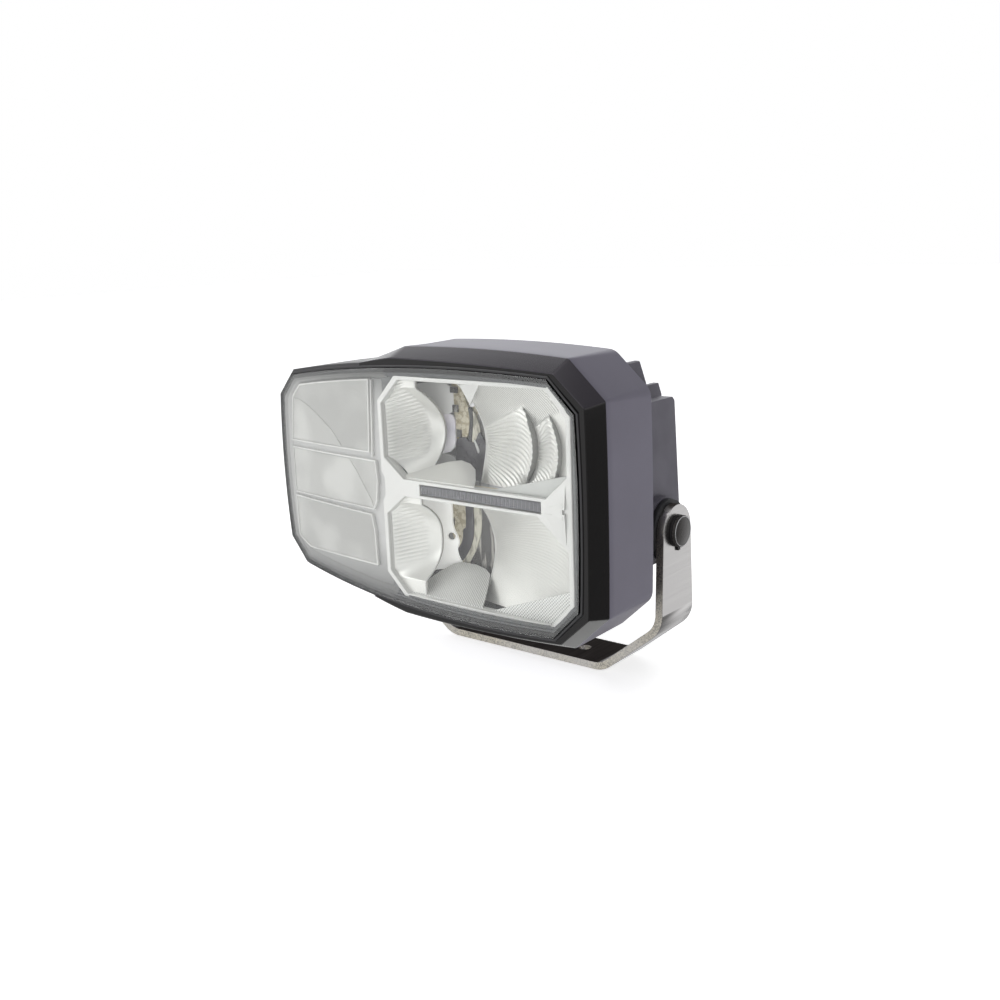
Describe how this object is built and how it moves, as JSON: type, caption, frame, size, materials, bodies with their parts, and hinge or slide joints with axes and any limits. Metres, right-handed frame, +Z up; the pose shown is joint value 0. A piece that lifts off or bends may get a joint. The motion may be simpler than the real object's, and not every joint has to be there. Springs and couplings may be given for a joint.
{
  "type": "fog light",
  "caption": "LED work, fog and driving lamp head with a wrap-round indicator wing, tilting in a stainless U bracket with a base bolt hole.",
  "frame": {"origin": "centre of the bracket's base hole, on the underside of the bracket", "axes": "+Z up, the lamp shines towards -Y, +X to the right seen from in front of the lamp, the indicator wing reaches towards -X"},
  "size_m": [0.2214, 0.099, 0.1688],
  "materials": {
    "stainless": "brushed stainless steel, cut edges left rough",
    "black_hardware": "black zinc-nickel coated steel",
    "black_nylon": "glass-filled nylon",
    "anthracite": "satin anthracite powder coat on die-cast aluminium",
    "dark_casting": "satin dark powder coat on die-cast aluminium",
    "body_plastic": "moulded black polymer",
    "clear_polycarbonate": "clear hard-coated polycarbonate",
    "mask_plastic": "dark grey mask",
    "seal_rubber": "silicone rubber",
    "bright_trim": "vapour-metallised white bright trim",
    "reflector_metal": "vacuum-metallised reflector",
    "light_guide": "smoked light guide",
    "board": "white solder mask board",
    "control_board": "green solder mask board",
    "led": "phosphor-covered emitter",
    "heat_spreader": "bare aluminium",
    "frosted": "frosted translucent cover",
    "white_tray": "metallised white tray",
    "zinc_steel": "zinc-plated steel",
    "component": "moulded components",
    "contact": "tin-plated brass",
    "vent": "moulded vent cap"
  },
  "bodies": {
    "bracket": {"bracket": "stainless", "pivot_washers": "black_hardware"},
    "head": {"pivot_bolts": "black_hardware", "friction_discs": "black_nylon", "threaded_inserts": "zinc_steel", "lamp_body": "body_plastic", "outer_lens": "clear_polycarbonate", "lens_seal": "seal_rubber", "lens_frame": "mask_plastic", "front_shell": "anthracite", "rear_housing": "dark_casting", "rear_gasket": "seal_rubber", "housing_screws": "zinc_steel", "breather_vent": "vent", "connector_socket": "black_nylon", "connector_pins": "contact", "connector_screws": "zinc_steel", "inner_bezel": "bright_trim", "drl_light_guide": "light_guide", "drl_board": "board", "drl_leds": "led", "reflector_upper_left": "reflector_metal", "reflector_upper_right": "reflector_metal", "reflector_lower_left": "reflector_metal", "reflector_lower_right": "reflector_metal", "reflector_screws": "zinc_steel", "heat_spreader": "heat_spreader", "upper_led_board": "board", "lower_led_board": "board", "board_screws": "zinc_steel", "upper_leds": "led", "lower_leds": "led", "indicator_diffuser": "frosted", "indicator_tray": "white_tray", "indicator_board": "board", "indicator_leds": "led", "driver_board": "control_board", "driver_components": "component", "board_posts": "zinc_steel"}
  },
  "joints": [
    {"name": "tilt", "type": "hinge", "parent": "bracket", "child": "head", "pos_m": [0, 0, 0.076], "axis": [-1, 0, 0], "range_deg": [-15, 45]}
  ]
}
